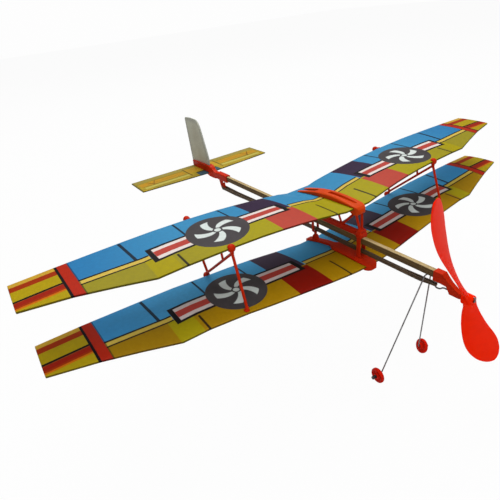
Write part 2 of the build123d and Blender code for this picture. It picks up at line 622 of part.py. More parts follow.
def make_gear_wire():
    """One length of wire: bar under the stick, two legs, two stub axles."""
    points = [on_axle(-1, AXLE_OUT), on_axle(-1, AXLE_IN),
              Vector(GEAR_X, -BAR_HALF, -STICK_H), Vector(GEAR_X, BAR_HALF, -STICK_H),
              on_axle(1, AXLE_IN), on_axle(1, AXLE_OUT)]
    wire = rod(points[0], points[1], WIRE_R)
    for start, end in zip(points[1:], points[2:]):
        wire = wire + rod(start, end, WIRE_R)
    for corner in points[1:-1]:
        wire = wire + ball(corner, WIRE_R)
    return largest_solid(wire)


def make_wheel(side):
    profile = polygon([(radius, 0, out) for radius, out in WHEEL_PROFILE])
    disc = revolve(profile, Axis((0, 0, 0), (0, 0, 1)), 360)
    return largest_solid(disc).moved(axle_plane(side, -1.5).location)


def make_wheel_cap(side):
    """Press-on end cap that keeps the wheel on the axle."""
    cap = Solid.make_cylinder(CAP_R, CAP_LENGTH, axle_plane(side, 1.85))
    return largest_solid(cap - Solid.make_cylinder(WIRE_R, 60, axle_plane(side, -30)))


# ---- build and export -----------------------------------------------------
upper_saddle = make_upper_saddle()
cabane_frame = make_cabane_frame(upper_saddle)
parts = {
    "upper_wing": wing_sheet(UPPER),
    "lower_wing": wing_sheet(LOWER),
    "motor_stick": make_motor_stick(),
    "upper_saddle": upper_saddle,
    "lower_saddle": make_lower_saddle(),
    "cabane_frame": cabane_frame,
    "clip_front": make_front_ring(cabane_frame),
    "clip_rear": make_rear_ring(),
    "nose_bearing": make_nose_bearing(),
    "prop_shaft": make_prop_shaft(),
    "propeller": make_propeller(),
    "rubber_motor": make_rubber_motor(),
    "tail_clip": make_tail_clip(),
    "tail_seat": make_tail_seat(),
    "stabilizer": make_stabilizer(),
    "fin": make_fin(),
    "gear_wire": make_gear_wire(),
}
for side_name, side in (("starboard", -1), ("port", 1)):
    parts["strut_" + side_name] = make_strut(side)
    parts["wheel_" + side_name] = make_wheel(side)
    parts["wheel_cap_" + side_name] = make_wheel_cap(side)

for name, shape in parts.items():
    export_step(shape.solids()[0], os.path.join("parts", name + ".step"))
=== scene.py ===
"""Rubber-powered toy biplane: printed foam wings and tail, a wooden stick with the rubber
motor under it, red moulded fittings, a two-bladed propeller and two wheels on a bent wire.

X runs forward to the propeller, Y to port and Z up. The top of the stick is at z = 0.
Sizes are in millimetres unless a comment says otherwise; meshes are made in metres.
"""
import bpy
import bmesh
import math
from functools import reduce
from mathutils import Vector, Matrix, noise


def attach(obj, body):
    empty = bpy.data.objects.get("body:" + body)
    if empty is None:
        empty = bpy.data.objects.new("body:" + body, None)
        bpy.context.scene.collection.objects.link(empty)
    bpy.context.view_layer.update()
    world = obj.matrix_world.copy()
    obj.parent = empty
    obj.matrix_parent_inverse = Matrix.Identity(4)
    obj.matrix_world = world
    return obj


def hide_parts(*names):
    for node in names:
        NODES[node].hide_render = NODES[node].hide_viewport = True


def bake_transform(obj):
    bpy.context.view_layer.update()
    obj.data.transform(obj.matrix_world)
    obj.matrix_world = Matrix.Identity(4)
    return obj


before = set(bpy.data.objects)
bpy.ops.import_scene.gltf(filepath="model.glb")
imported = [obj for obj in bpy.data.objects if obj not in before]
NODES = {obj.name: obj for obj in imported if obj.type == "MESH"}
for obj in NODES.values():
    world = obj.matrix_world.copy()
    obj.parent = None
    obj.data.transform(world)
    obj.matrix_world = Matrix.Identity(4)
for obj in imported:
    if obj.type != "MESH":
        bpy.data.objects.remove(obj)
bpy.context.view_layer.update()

MM = 0.001
COLLECTION = bpy.context.scene.collection

SHAFT_Z = -9.8      # height of the propeller shaft


# ======================================================================
# shader helpers
# ======================================================================
def srgb(red, green, blue):
    """Linear RGBA from display colours of 0 to 255."""
    def linear(value):
        value = value / 255.0
        return value / 12.92 if value <= 0.04045 else ((value + 0.055) / 1.055) ** 2.4
    return (linear(red), linear(green), linear(blue), 1.0)


class Value:
    """A node output that can be calculated with and turned into a soft-edged mask."""

    def __init__(self, shader, socket):
        self.shader = shader
        self.socket = socket

    def __add__(self, other):
        return self.shader.math("ADD", self, other)

    def __radd__(self, other):
        return self.shader.math("ADD", other, self)

    def __sub__(self, other):
        return self.shader.math("SUBTRACT", self, other)

    def __rsub__(self, other):
        return self.shader.math("SUBTRACT", other, self)

    def __mul__(self, other):
        return self.shader.math("MULTIPLY", self, other)

    def __rmul__(self, other):
        return self.shader.math("MULTIPLY", other, self)

    def absolute(self):
        return self.shader.math("ABSOLUTE", self)

    def above(self, edge, soft=0.25):
        """1 above the edge and 0 below it, blended over soft on either side."""
        ramp = self.shader.new("MapRange")
        ramp.interpolation_type = "SMOOTHSTEP"
        self.shader.put(ramp.inputs["Value"], self)
        self.shader.put(ramp.inputs["From Min"], edge - soft)
        self.shader.put(ramp.inputs["From Max"], edge + soft)
        return Value(self.shader, ramp.outputs["Result"])

    def below(self, edge, soft=0.25):
        return 1.0 - self.above(edge, soft)

    def between(self, low, high, soft=0.25):
        return self.above(low, soft) * self.below(high, soft)


def patch(across, width, along, length, soft=(0.25, 0.25)):
    """Mask of a rectangle: a range across times a range along, each with its softness."""
    return across.between(*width, soft[0]) * along.between(*length, soft[1])


class Shader:
    """A Principled material under construction."""

    def __init__(self, name, roughness, specular=0.5, metallic=0.0):
        self.material = bpy.data.materials.new(name)
        self.material.use_nodes = True
        self.tree = self.material.node_tree
        self.set_inputs({"Roughness": roughness, "Specular IOR Level": specular,
                         "Metallic": metallic})
        self.position = self.new("TexCoord").outputs["Object"]

    def set_inputs(self, inputs):
        """Set inputs of the Principled node by name, to numbers or Values."""
        principled = self.tree.nodes["Principled BSDF"]
        for name, value in inputs.items():
            self.put(principled.inputs[name], value)

    def new(self, kind):
        return self.tree.nodes.new("ShaderNode" + kind)

    def put(self, socket, value):
        if isinstance(value, Value):
            self.tree.links.new(value.socket, socket)
        else:
            socket.default_value = value

    def math(self, operation, *operands):
        node = self.new("Math")
        node.operation = operation
        for socket, operand in zip(node.inputs, operands):
            self.put(socket, operand)
        return Value(self, node.outputs[0])

    def maximum(self, first, second):
        return self.math("MAXIMUM", first, second)

    def coordinates(self, axes="XYZ"):
        """Object coordinates in millimetres."""
        split = self.new("SeparateXYZ")
        self.tree.links.new(self.position, split.inputs[0])
        return [Value(self, split.outputs[axis]) * 1000.0 for axis in axes]

    def vector(self, *parts):
        node = self.new("CombineXYZ")
        for socket, part in zip(node.inputs, parts):
            self.put(socket, part)
        return node.outputs[0]

    def noise(self, scale=1.0, detail=3.0, rough=0.5, distortion=0.0, at=None):
        """Noise at a vector. Without one it is at the object position, scale per metre."""
        node = self.new("TexNoise")
        self.tree.links.new(at or self.position, node.inputs["Vector"])
        node.inputs["Scale"].default_value = scale
        node.inputs["Detail"].default_value = detail
        node.inputs["Roughness"].default_value = rough
        node.inputs["Distortion"].default_value = distortion
        return Value(self, node.outputs["Fac"])

    def cells(self, scale):
        """Distance to the middle of foam-like cells, scale per metre."""
        node = self.new("TexVoronoi")
        self.tree.links.new(self.position, node.inputs["Vector"])
        node.inputs["Scale"].default_value = scale
        return Value(self, node.outputs["Distance"])

    def mix(self, base, colour, mask):
        """The base colour with another laid over it by a mask."""
        node = self.new("Mix")
        node.data_type = "RGBA"
        self.put(node.inputs[0], mask)
        self.put(node.inputs[6], base)
        self.put(node.inputs[7], colour)
        return Value(self, node.outputs[2])

    def dim(self, colour, factor):
        """The colour times a scalar."""
        grey = self.new("CombineColor")
        for socket in grey.inputs[:3]:
            self.put(socket, factor)
        product = self.mix(colour, Value(self, grey.outputs[0]), 1.0)
        product.socket.node.blend_type = "MULTIPLY"
        return product

    def normal_z(self, local):
        """Upward part of the surface normal, in object space if local."""
        normal = self.new("NewGeometry").outputs["Normal"]
        if local:
            turn = self.new("VectorTransform")
            turn.vector_type = "NORMAL"
            turn.convert_from = "WORLD"
            turn.convert_to = "OBJECT"
            self.tree.links.new(normal, turn.inputs[0])
            normal = turn.outputs[0]
        split = self.new("SeparateXYZ")
        self.tree.links.new(normal, split.inputs[0])
        return Value(self, split.outputs[2])

    def shade_and_ink_cut_edges(self, colour, darkest):
        """Painted shade on the die-cut sides, also standing for ink carried over the cut:
        darken where the surface turns away from the top.
        """
        facing = self.normal_z(local=True).above(0.62, soft=0.2)
        return self.dim(colour, darkest + (1.0 - darkest) * facing)

    def finish(self, colour, roughness, height, depth, strength):
        """Link colour, roughness and bump (depth in metres); gives the material."""
        bump = self.new("Bump")
        bump.inputs["Strength"].default_value = strength
        bump.inputs["Distance"].default_value = depth
        self.put(bump.inputs["Height"], height)
        self.set_inputs({"Base Color": colour, "Roughness": roughness,
                         "Normal": Value(self, bump.outputs["Normal"])})
        return self.material


# ======================================================================
# printed foam
# ======================================================================
BLACK = srgb(20, 16, 18)
# painted light: the upper sheet's copy of the print, its red paler with painted sheen
UPPER_INK_LIT_COPY = {
    "blue": srgb(54, 131, 174), "outer blue": srgb(34, 107, 162),
    "yellow": srgb(156, 145, 12), "outer yellow": srgb(140, 130, 34),
    "red": srgb(174, 66, 52), "purple": srgb(50, 35, 58), "bar white": srgb(216, 204, 198)}
# painted shade: the lower sheet's copy of the same print is a little deeper and warmer
LOWER_INK_SHADED_COPY = {
    "blue": srgb(70, 156, 206), "outer blue": srgb(44, 124, 182),
    "yellow": srgb(166, 126, 4), "outer yellow": srgb(150, 115, 10),
    "red": srgb(130, 18, 4), "purple": srgb(64, 52, 70), "bar white": srgb(206, 192, 188)}

# double line between the halves: chord from, to, colour
PINSTRIPES = [(28.7, 33.4, srgb(200, 172, 74)), (27.9, 29.3, BLACK), (32.5, 33.7, BLACK)]
# black ticks aft of the double line: span from, to, chord from, to
REAR_TICKS = [(74.9, 76.3, 1.0, 22.0), (109.9, 111.4, 1.0, 21.5)]
TIP_YELLOW = srgb(164, 142, 12)
TIP_RED = srgb(150, 46, 6)
# stripes on the wing tip: chord from, to, softness, colour
TIP_STRIPES = [
    (5.0, 10.8, 0.3, TIP_RED), (10.8, 21.4, 0.3, TIP_YELLOW), (21.2, 23.0, 0.2, BLACK),
    (23.0, 27.4, 0.4, srgb(146, 30, 12)), (27.0, 28.8, 0.3, TIP_RED),
    (28.6, 30.2, 0.3, srgb(190, 100, 8))]


def paint_halves(shader, ink, span, chord, bar_chord):
    """Trailing half blue with a purple panel, leading half yellow with a red one."""
    tone = shader.noise(scale=9.0, detail=2.0)
    outward = span.above(150.0, soft=45.0)
    colour = shader.mix(ink["blue"], ink["outer blue"], outward * 0.75 + (tone - 0.5) * 0.3)
    colour = shader.mix(colour, ink["purple"], span.between(35.5, 61.5) * chord.below(36.0))
    tone = shader.noise(scale=14.0, detail=3.0)
    outward = span.above(110.0, soft=40.0)
    leading = shader.mix(ink["yellow"], ink["outer yellow"],
                         outward * 0.8 + (tone - 0.5) * 0.4)
    # painted shading: a separate yellow between span 128 and 143.4 for the bent panel's
    # shading at the crease
    leading = shader.mix(leading, srgb(158, 144, 10), span.between(128.0, 143.4, soft=0.3))
    colour = shader.mix(colour, leading, bar_chord.above(33.2))
    return shader.mix(colour, ink["red"], span.between(34.5, 60.5) * chord.above(36.0))


def paint_bars(shader, ink, colour, span, bar_chord):
    """Pinstripes, broken by framed bars on either side of the disc."""
    clear_of_bars = 1.0 - span.between(34.5, 139.0, soft=0.2)
    for low, high, stripe in PINSTRIPES:
        mask = bar_chord.between(low, high, soft=0.2) * clear_of_bars
        colour = shader.mix(colour, stripe, mask)
    from_middle = (bar_chord - 30.1).absolute()
    # span from, to, half width, colour
    for low, high, half_width, bar in ((38.8, 138.8, 8.2, BLACK),
                                       (42.5, 135.5, 6.2, ink["bar white"]),
                                       (42.5, 135.5, 3.0, srgb(172, 62, 52))):
        mask = span.between(low, high, soft=0.2) * from_middle.below(half_width, soft=0.2)
        colour = shader.mix(colour, bar, mask)
    return colour


def paint_ticks(shader, colour, span, chord):
    ticks = [span.between(18.2, 19.6, soft=0.2) * chord.above(43.0, soft=0.4),
             span.between(124.3, 125.8, soft=0.2) * chord.above(38.6, soft=0.3)]
    for low, high, aft, fore in REAR_TICKS:
        ticks.append(patch(span, (low, high), chord, (aft, fore), soft=(0.2, 0.4)))
    slanted = span + chord * 0.08
    ticks.append(patch(slanted, (147.9, 150.0), chord, (1.0, 27.0), soft=(0.2, 0.4)))
    return shader.mix(colour, BLACK, reduce(shader.maximum, ticks) * 0.92)


def paint_disc(shader, colour, span, chord):
    """Dark disc with a pale pinwheel of five curved vanes."""
    out = span - 92.0
    forward = chord - 30.4
    radius = shader.math("SQRT", out * out + forward * forward)
    dark = shader.mix(srgb(58, 53, 54), srgb(74, 70, 72), shader.noise(scale=60.0))
    colour = shader.mix(colour, dark, radius.below(21.0))
    angle = shader.math("ARCTAN2", forward, out)
    # five turns of phase round the disc, swirled by the radius and kept positive
    phase = angle * (5.0 / (2 * math.pi)) + radius * 0.030 + 10.0
    width = 0.60 - radius * 0.018
    vane = shader.math("FRACT", phase).between(0.16, 0.16 + width, soft=0.03)
    vane = vane * radius.below(15.2, soft=0.3) * radius.above(3.4)
    vane = shader.maximum(vane, radius.below(2.2))
    return shader.mix(colour, srgb(206, 214, 210), vane * 0.97)


def paint_tip(shader, colour, span, chord):
    """Striped tip, closed off by a red band edged in black."""
    tip = srgb(190, 150, 48)
    for low, high, soft, stripe in TIP_STRIPES:
        tip = shader.mix(tip, stripe, chord.between(low, high, soft))
    tip = shader.mix(tip, TIP_YELLOW, chord.above(30.0, soft=0.3))
    colour = shader.mix(colour, tip, span.above(188.0, soft=0.2))
    slanted = span + chord * 0.03
    colour = shader.mix(colour, srgb(166, 36, 16), slanted.between(181.6, 188.0, soft=0.2))
    colour = shader.mix(colour, BLACK, slanted.between(180.9, 181.7, soft=0.2) * 0.7)
    return shader.mix(colour, BLACK, slanted.between(187.6, 189.2, soft=0.2))


def wing_print(name, trailing_x, ink):
    """The print is placed by span (|y|) and by chord, forward from the trailing edge."""
    shader = Shader(name, roughness=0.55, specular=0.05)
    x, y = shader.coordinates("XY")
    span = y.absolute()
    chord = x - trailing_x
    # the bars run a little across the chord
    bar_chord = chord + (span - 91.0) * 0.03
    # the print's edges wander by about a tenth of a millimetre
    wander = (shader.noise(scale=900.0, detail=2.0) - 0.5) * 0.25
    span = span + wander
    chord = chord + wander
    bar_chord = bar_chord + wander

    colour = paint_halves(shader, ink, span, chord, bar_chord)
    colour = paint_bars(shader, ink, colour, span, bar_chord)
    colour = paint_ticks(shader, colour, span, chord)
    colour = paint_disc(shader, colour, span, chord)
    colour = paint_tip(shader, colour, span, chord)

    # uneven ink, fine and broad, over fibres and tiny pits in the foam skin
    grain = shader.noise(scale=420.0, detail=4.0, rough=0.6)
    pits = shader.cells(scale=700.0)
    clouds = shader.noise(scale=30.0, detail=2.0)
    colour = shader.dim(colour, 0.93 + (grain - 0.5) * 0.28 + (clouds - 0.5) * 0.10)
    # painted shade on the cut sides, with ink over the cut
    colour = shader.shade_and_ink_cut_edges(colour, darkest=0.34)
    return shader.finish(colour, roughness=0.36 + grain * 0.22,
                         height=grain * 0.6 + pits * 0.5, depth=0.00012, strength=0.30)


def tail_print(name):
    """Golden tailplane: drawn ribs and panels in browns, a dark patch at the root."""
    shader = Shader(name, roughness=0.55, specular=0.05)
    x, y, z = shader.coordinates()
    span = y.absolute()
    chord = x + 162.0
    blotch = shader.noise(detail=3.0, at=shader.vector(x * 0.10, y * 0.03, z))
    streak = shader.noise(detail=2.0, at=shader.vector(x * 0.55, y * 0.02, z))
    root = span.below(18.6, soft=0.4)
    colour = shader.mix(srgb(172, 146, 34), srgb(146, 128, 40), blotch.above(0.5, soft=0.12))

    # panels, from the trailing strip to the root
    middle_panel = patch(span, (22.0, 74.0), chord, (11.5, 21.5), soft=(0.8, 0.9))
    front_panel = patch(span, (20.0, 72.0), chord, (24.5, 29.5), soft=(0.8, 0.7))
    for panel, mask in (
            (srgb(150, 134, 62), chord.below(8.5, soft=1.2)),
            (srgb(186, 134, 26), middle_panel * (0.35 + streak * 0.9)),
            (srgb(184, 174, 82), front_panel * (0.55 + streak * 0.6)),
            (srgb(196, 150, 34), root * chord.between(9.0, 24.0, soft=0.8) * 0.7)):
        colour = shader.mix(colour, panel, mask)

    # drawn lines; the last factor is how strongly a line is inked
    lines = [
        patch(span, (18.8, 20.3), chord, (6.0, 32.0), soft=(0.25, 0.5)),
        patch(chord + span * 0.02, (11.0, 11.9), span, (22.0, 60.0), soft=(0.3, 0.5)) * 0.7,
        patch(chord + span * 0.03, (24.2, 25.2), span, (20.0, 74.0), soft=(0.3, 0.5)) * 0.9,
        patch(span + chord * 0.55, (70.4, 71.8), chord, (11.0, 24.0), soft=(0.3, 0.4)),
        patch(span - chord * 0.45, (50.0, 51.2), chord, (11.0, 23.0), soft=(0.3, 0.4)) * 0.8,
        patch(chord - span * 0.04, (14.6, 15.4), span, (30.0, 66.0), soft=(0.3, 0.5)) * 0.5]
    colour = shader.mix(colour, srgb(98, 66, 10), reduce(shader.maximum, lines) * 0.8)

    # blue patch at the front of the root with a dark line behind it
    blue_patch = span.below(13.0, soft=0.5) * chord.above(29.0, soft=0.5)
    colour = shader.mix(colour, srgb(58, 84, 96), blue_patch)
    dark_line = span.below(12.5, soft=0.5) * chord.between(26.4, 29.2, soft=0.5)
    colour = shader.mix(colour, srgb(70, 60, 14), dark_line)
    border = shader.maximum(chord.below(1.2, soft=0.4), span.above(76.2, soft=0.3))
    colour = shader.mix(colour, srgb(96, 88, 40), border * 0.6)

    grain = shader.noise(scale=420.0, detail=4.0, rough=0.6)
    colour = shader.dim(colour, 0.92 + (grain - 0.5) * 0.3)
    # painted shade on the cut sides, with ink over the cut
    colour = shader.shade_and_ink_cut_edges(colour, darkest=0.36)
    return shader.finish(colour, roughness=0.36 + grain * 0.22, height=grain,
                         depth=0.00012, strength=0.3)


def plain_foam(name):
    shader = Shader(name, roughness=0.7, specular=0.35)
    tone = shader.noise(scale=60.0)
    pits = shader.cells(scale=620.0)
    colour = shader.mix(srgb(232, 231, 226), srgb(208, 207, 203), tone * 0.8)
    colour = shader.dim(colour, 0.90 + pits * 0.25)
    return shader.finish(colour, roughness=0.62 + pits * 0.3, height=pits * 0.7 + tone * 0.5,
                         depth=0.00018, strength=0.4)


def fin_foam(name):
    """Off-white foam, greyer towards the top, rear and front edges."""
    shader = Shader(name, roughness=0.6, specular=0.2)
    x, y, z = shader.coordinates()
    tone = shader.noise(at=shader.vector(x * 0.05, y, z * 0.04))
    pits = shader.cells(scale=620.0)
    colour = shader.mix(srgb(200, 201, 184), srgb(186, 184, 166), tone.above(0.5, soft=0.2))
    top = z.above(47.5, soft=3.0)
    rear = (x + z * 0.05).below(-160.0, soft=2.5)
    front = (x + z * 0.22).above(-125.5, soft=2.5)
    rim = shader.maximum(top, shader.maximum(rear, front))
    colour = shader.mix(colour, srgb(158, 161, 154), rim * 0.55)
    colour = shader.dim(colour, 0.92 + pits * 0.2)
    return shader.finish(colour, roughness=0.5 + pits * 0.3, height=pits * 0.7 + tone * 0.3,
                         depth=0.00014, strength=0.4)


# ======================================================================
# plastic, wood, rubber and steel (vector factors are noise frequencies per mm)
# ======================================================================
def red_plastic(name, base=(190, 42, 13), dark=(156, 22, 6), roughness=0.36, specular=0.05,
                extra=None):
    """Moulded plastic with flow marks and scratches; extra sets more Principled inputs."""
    shader = Shader(name, roughness=roughness, specular=specular)
    x, y, z = shader.coordinates()
    flow = shader.noise(detail=3.0, distortion=0.6,
                        at=shader.vector(x * 0.05, y * 0.18, z * 0.18))
    fine = shader.noise(scale=900.0, detail=4.0, rough=0.6)
    scratch = shader.noise(detail=2.0, distortion=1.2,
                           at=shader.vector(x * 0.6, y * 4.0, z * 3.0))
    colour = shader.mix(srgb(*base), srgb(*dark), flow.above(0.56, soft=0.22) * 0.45)
    colour = shader.mix(colour, srgb(236, 92, 34), scratch.above(0.70, soft=0.05) * 0.22)
    worn = roughness - 0.05 + fine * 0.14 + scratch.above(0.68, soft=0.06) * 0.14
    shader.set_inputs({"Specular Tint": (1.0, 0.62, 0.36, 1.0), **(extra or {})})
    return shader.finish(colour, roughness=worn, height=fine * 0.5 + flow * 0.6,
                         depth=0.00006, strength=0.35)


def propeller_plastic():
    """Thin translucent plastic; its emission is a painted glow standing for the light through
    it.
    """
    return red_plastic(
        "propeller_plastic", base=(228, 32, 1), dark=(214, 26, 1), roughness=0.40,
        specular=0.012,
        # painted glow: the part emits light though it is no lamp
        extra={"Subsurface Weight": 0.35, "Subsurface Radius": (1.0, 0.10, 0.03),
               "Subsurface Scale": 0.0025, "Emission Color": srgb(226, 34, 1),
               "Emission Strength": 0.20})


def wood(name):
    shader = Shader(name, roughness=0.62, specular=0.3)
    x, y, z = shader.coordinates()
    grain = shader.noise(detail=5.0, rough=0.62, distortion=0.35,
                         at=shader.vector(x * 0.035, y * 1.3, z * 1.3))
    pore = shader.noise(detail=3.0, rough=0.6, at=shader.vector(x * 0.30, y * 7.0, z * 7.0))
    broad = shader.noise(detail=2.0, at=shader.vector(x * 0.010, y * 0.4, z * 0.4))
    grain_colour = shader.mix(srgb(188, 168, 118), srgb(142, 110, 62), grain.above(0.5, soft=0.17))
    grain_colour = shader.mix(grain_colour, srgb(112, 80, 38), pore.above(0.62, soft=0.05) * 0.55)
    grain_colour = shader.mix(grain_colour, srgb(196, 182, 138), (broad - 0.4) * 0.7)
    # painted shade: the sides are browner than the top, chosen by the world normal
    painted_side_shade = shader.mix(srgb(108, 84, 40), srgb(78, 56, 23), grain.above(0.5, soft=0.2))
    top = shader.normal_z(local=False).above(0.6, soft=0.3)
    return shader.finish(shader.mix(painted_side_shade, grain_colour, top), roughness=0.52 + pore * 0.25,
                         height=grain * 0.5 + pore.below(0.62, soft=0.05) * 0.6,
                         depth=0.00012, strength=0.5)


def strip_rubber(name):
    shader = Shader(name, roughness=0.5, specular=0.45)
    x, y, z = shader.coordinates()
    streak = shader.noise(detail=4.0, at=shader.vector(x * 0.08, y * 1.8, z * 1.8))
    dust = shader.noise(scale=1300.0)
    colour = shader.mix(srgb(66, 46, 22), srgb(96, 72, 42), streak.above(0.52, soft=0.16))
    colour = shader.mix(colour, srgb(118, 98, 70), dust.above(0.66, soft=0.06) * 0.35)
    return shader.finish(colour, roughness=0.40 + dust * 0.3, height=dust * 0.6 + streak,
                         depth=0.00008, strength=0.4)


def steel(name):
    shader = Shader(name, roughness=0.32, metallic=0.9)
    x, y, z = shader.coordinates()
    tarnish = shader.noise(detail=4.0, at=shader.vector(x * 0.4, y * 0.4, z * 0.4))
    fine = shader.noise(scale=2000.0)
    colour = shader.mix(srgb(150, 150, 152), srgb(104, 100, 96), tarnish.above(0.52, soft=0.2))
    return shader.finish(colour, roughness=0.24 + fine * 0.25, height=fine,
                         depth=0.00003, strength=0.3)


def black_rubber(name):
    shader = Shader(name, roughness=0.55, specular=0.4)
    fine = shader.noise(scale=1400.0)
    colour = shader.mix(srgb(22, 22, 24), srgb(52, 52, 54), fine.above(0.58, soft=0.1) * 0.6)
    return shader.finish(colour, roughness=0.42 + fine * 0.3, height=fine,
                         depth=0.00006, strength=0.5)


# ======================================================================
# mesh helpers
# ======================================================================
def make(name, verts, faces, materials, slots=None, outward=True):
    """Smooth-shaded object from millimetre points; outward turns the normals out."""
    mesh = bpy.data.meshes.new(name)
    mesh.from_pydata([(v[0] * MM, v[1] * MM, v[2] * MM) for v in verts], [], faces)
    for material in materials:
        mesh.materials.append(material)
    if slots:
        mesh.polygons.foreach_set("material_index", slots)
    mesh.polygons.foreach_set("use_smooth", [True] * len(mesh.polygons))
    mesh.validate()
    mesh.update()
    piece = bpy.data.objects.new(name, mesh)
    COLLECTION.objects.link(piece)
    if outward:
        edit = bmesh.new()
        edit.from_mesh(mesh)
        bmesh.ops.recalc_face_normals(edit, faces=edit.faces)
        edit.to_mesh(mesh)
        edit.free()
    return piece


def register(piece, body, node):
    """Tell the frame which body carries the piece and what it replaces."""
    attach(piece, body)
    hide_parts(node)


def bevel_edges(piece, width):
    bevel = piece.modifiers.new("edge", "BEVEL")
    bevel.width = width * MM
    bevel.segments = 2
    bevel.limit_method = "ANGLE"
    bevel.angle_limit = math.radians(60)


def interpolate(table, position):
    """Values of a table at a position in its first column, held beyond its ends."""
    position = max(table[0][0], min(table[-1][0], position))
    for before, after in zip(table, table[1:]):
        if before[0] <= position <= after[0]:
            part = (position - before[0]) / (after[0] - before[0])
            return tuple(a + (b - a) * part for a, b in zip(before[1:], after[1:]))


def merge(parts):
    """[(verts, faces)] -> one (verts, faces)."""
    verts, faces = [], []
    for part_verts, part_faces in parts:
        start = len(verts)
        verts += part_verts
        faces += [tuple(i + start for i in face) for face in part_faces]
    return verts, faces


def ring_faces(rings, size, closed=False):
    """Quads between consecutive rings of size points; closed joins the last to the first."""
    faces = []
    for i in range(rings if closed else rings - 1):
        here = i * size
        there = (i + 1) % rings * size
        for k in range(size):
            k2 = (k + 1) % size
            faces.append((here + k, here + k2, there + k2, there + k))
    return faces


def wire_tube(path, radius, sides=14):
    """Round wire along a list of points, turned without twist, with domed ends."""
    points = [Vector(p) for p in path]
    last = len(points) - 1
    tangents = [(points[min(last, i + 1)] - points[max(0, i - 1)]).normalized()
                for i in range(last + 1)]
    up = Vector((0, 0, 1))
    normals = [(up - tangents[0] * up.dot(tangents[0])).normalized()]
    for i in range(1, last + 1):
        turn = tangents[i - 1].rotation_difference(tangents[i])
        normals.append((turn @ normals[-1]).normalized())
    verts = []
    for point, tangent, normal in zip(points, tangents, normals):
        side = tangent.cross(normal)
        for k in range(sides):
            angle = 2 * math.pi * k / sides
            verts.append(point + normal * (radius * math.cos(angle))
                         + side * (radius * math.sin(angle)))
    faces = ring_faces(last + 1, sides)
    for i, sign in ((0, -1), (last, 1)):
        base = i * sides
        ring = len(verts)
        for k in range(sides):
            verts.append(points[i] + (verts[base + k] - points[i]) * 0.72
                         + tangents[i] * (sign * radius * 0.22))
        pole = len(verts)
        verts.append(points[i] + tangents[i] * (sign * radius * 0.3))
        for k in range(sides):
            k2 = (k + 1) % sides
            if sign > 0:
                faces.append((base + k, base + k2, ring + k2, ring + k))
                faces.append((ring + k, ring + k2, pole))
            else:
                faces.append((base + k2, base + k, ring + k, ring + k2))
                faces.append((ring + k2, ring + k, pole))
    return verts, faces


def rounded(corners, radius, steps=7):
    """Polyline with its corners turned on a radius."""
    points = [Vector(p) for p in corners]
    path = [points[0]]
    for before, corner, after in zip(points, points[1:], points[2:]):
        back, ahead = (before - corner).normalized(), (after - corner).normalized()
        cut = min(radius / math.tan(back.angle(ahead) / 2),
                  (before - corner).length * 0.45, (after - corner).length * 0.45)
        start, end = corner + back * cut, corner + ahead * cut
        for k in range(steps + 1):
            t = k / steps
            path.append(start * (1 - t) ** 2 + corner * (2 * t * (1 - t)) + end * t ** 2)
    path.append(points[-1])
    return path


def densify(path, spacing):
    dense = [Vector(path[0])]
    for start, end in zip(path, path[1:]):
        count = max(1, int((end - start).length / spacing))
        for k in range(1, count + 1):
            dense.append(start + (end - start) * (k / count))
    return dense


def lathe(profile, origin, axis, sides):
    """Closed profile [(radius, along)] turned about the axis."""
    axis = Vector(axis).normalized()
    across = axis.orthogonal().normalized()
    third = axis.cross(across)
    origin = Vector(origin)
    verts = []
    for k in range(sides):
        angle = 2 * math.pi * k / sides
        outward = across * math.cos(angle) + third * math.sin(angle)
        verts += [origin + outward * radius + axis * along for radius, along in profile]
    return verts, ring_faces(sides, len(profile), closed=True)


def span_stations(table, spacing):
    """Stations from tip to tip that include every row of a half-span table."""
    fixed = sorted({0.0} | {row[0] for row in table})
    half = []
    for start, end in zip(fixed, fixed[1:]):
        count = int(round((end - start) / spacing))
        half += [start + (end - start) * k / count for k in range(count)]
    half.append(fixed[-1])
    return [-y for y in reversed(half[1:])] + half


def foam_sheet(name, table, spacing, trailing_x, thickness, materials, cells):
    """Cambered sheet: top grid, bottom grid, side walls and slightly rounded edges.

    trailing_x gives the trailing edge at y; cells is the number of cells along the chord.
    """
    stations = span_stations(table, spacing)
    count = len(stations)
    verts, faces, slots = [], [], []

    def index(side, i, j):
        return (side * count + i) * (cells + 1) + j

    for offset in (thickness / 2, -thickness / 2):
        for y in stations:
            trail_z, lead_x, lead_z, camber = interpolate(table, abs(y))
            trail_x = trailing_x(y)
            for j in range(cells + 1):
                u = j / cells
                z = trail_z + (lead_z - trail_z) * u + 4 * camber * u * (1 - u)
                verts.append((trail_x + (lead_x - trail_x) * u, y, z + offset))
    for i in range(count - 1):
        for j in range(cells):
            faces.append((index(0, i, j), index(0, i, j + 1),
                          index(0, i + 1, j + 1), index(0, i + 1, j)))
            faces.append((index(1, i, j), index(1, i + 1, j),
                          index(1, i + 1, j + 1), index(1, i, j + 1)))
            slots += [0, 1]
    for i in range(count - 1):
        faces.append((index(0, i, 0), index(0, i + 1, 0), index(1, i + 1, 0), index(1, i, 0)))
        faces.append((index(0, i + 1, cells), index(0, i, cells),
                      index(1, i, cells), index(1, i + 1, cells)))
    last = count - 1
    for j in range(cells):
        faces.append((index(0, 0, j + 1), index(0, 0, j), index(1, 0, j), index(1, 0, j + 1)))
        faces.append((index(0, last, j), index(0, last, j + 1),
                      index(1, last, j + 1), index(1, last, j)))
    slots += [0] * (len(faces) - len(slots))
    piece = make(name, verts, faces, materials, slots)
    bevel_edges(piece, thickness * 0.22)
    return piece


# ======================================================================
# wings
# ======================================================================
WING_THICKNESS = 1.45
UPPER_TRAILING_X = 23.3
LOWER_TRAILING_X = 36.3
